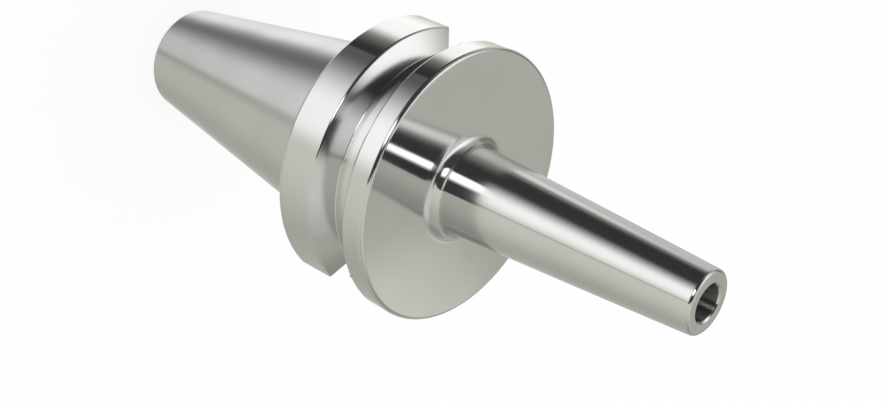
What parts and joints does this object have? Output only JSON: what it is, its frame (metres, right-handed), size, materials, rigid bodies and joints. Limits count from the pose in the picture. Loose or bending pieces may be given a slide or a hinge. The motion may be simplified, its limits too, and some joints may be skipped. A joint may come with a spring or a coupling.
{
  "type": "shrink fit tool holder",
  "caption": "Slim shrink fit tool holder: steep taper, flange with a gripper groove and drive slots, and a long thin conical nose with a plain bore for a round shank.",
  "frame": {"origin": "centre of the gauge plane, where the spindle taper is 44.45 mm across", "axes": "+Z along the axis of rotation, from the taper towards the tool; +X through one of the two drive slots, which are alike"},
  "size_m": [0.063, 0.063, 0.1554],
  "materials": {
    "hardened_steel": "hardened tool steel, polished flange and nose, fine ground taper"
  },
  "bodies": {
    "root": {"holder_body": "hardened_steel"}
  },
  "joints": []
}
